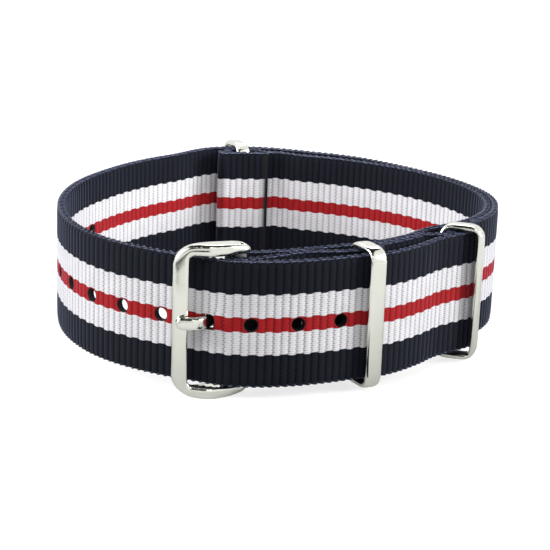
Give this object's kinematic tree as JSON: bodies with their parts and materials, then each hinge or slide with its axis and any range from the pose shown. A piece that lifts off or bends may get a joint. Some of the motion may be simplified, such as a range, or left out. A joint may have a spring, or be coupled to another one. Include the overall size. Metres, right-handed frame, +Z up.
{
  "type": "nylon watch strap",
  "caption": "Striped woven nylon pull-through watch strap, threaded and closed, with a pin buckle on a sprung bar and flat steel keepers.",
  "frame": {"origin": "centre of the bounding box's bottom face, on the table under the middle of the closed loop", "axes": "+Z up across the webbing's width; -Y towards the buckle side; +X to the right, towards the side where the tail ends"},
  "size_m": [0.0746, 0.0854, 0.024],
  "materials": {
    "webbing": "woven, ribbed across, with white and red stripes",
    "polished_steel": "polished",
    "satin_steel": "satin",
    "spring_wire": "drawn wire"
  },
  "bodies": {
    "strap": {"main_strap": "webbing", "short_strap": "webbing", "bar_tube": "satin_steel", "bar_spring": "spring_wire"},
    "buckle": {"buckle_frame": "polished_steel"},
    "tongue": {"buckle_tongue": "polished_steel"},
    "upper_pin": {"upper_pivot": "satin_steel"},
    "lower_pin": {"lower_pivot": "satin_steel"},
    "front_ring": {"front_keeper": "polished_steel"},
    "side_ring": {"side_keeper": "polished_steel"},
    "back_ring": {"back_keeper": "polished_steel"}
  },
  "joints": [
    {"name": "buckle_swing", "type": "hinge", "parent": "strap", "child": "buckle", "pos_m": [-0.00578, -0.03796, 0.012], "axis": [0, 0, 1], "range_deg": [0, 5]},
    {"name": "tongue_swing", "type": "hinge", "parent": "buckle", "child": "tongue", "pos_m": [-0.00578, -0.03796, 0.012], "axis": [0, 0, 1], "range_deg": [0, 3]},
    {"name": "front_keeper_swing", "type": "hinge", "parent": "strap", "child": "front_ring", "pos_m": [0.01196, -0.03086, 0.012], "axis": [0, 0, 1], "range_deg": [-18, 10]},
    {"name": "side_keeper_swing", "type": "hinge", "parent": "strap", "child": "side_ring", "pos_m": [0.02622, -0.01827, 0.012], "axis": [0, 0, 1], "range_deg": [-60, 0]},
    {"name": "back_keeper_swing", "type": "hinge", "parent": "strap", "child": "back_ring", "pos_m": [-0.00749, 0.03614, 0.012], "axis": [0, 0, 1], "range_deg": [-36, 0]},
    {"name": "upper_pivot_press", "type": "slide", "parent": "strap", "child": "upper_pin", "axis": [0, 0, 1], "range_m": [-0.0012, 0], "stiffness_N_per_m": 200, "springref_m": 0.001, "deforming": ["bar_spring"]},
    {"name": "lower_pivot_press", "type": "slide", "parent": "strap", "child": "lower_pin", "axis": [0, 0, 1], "range_m": [0, 0.0012], "stiffness_N_per_m": 200, "springref_m": -0.001}
  ]
}
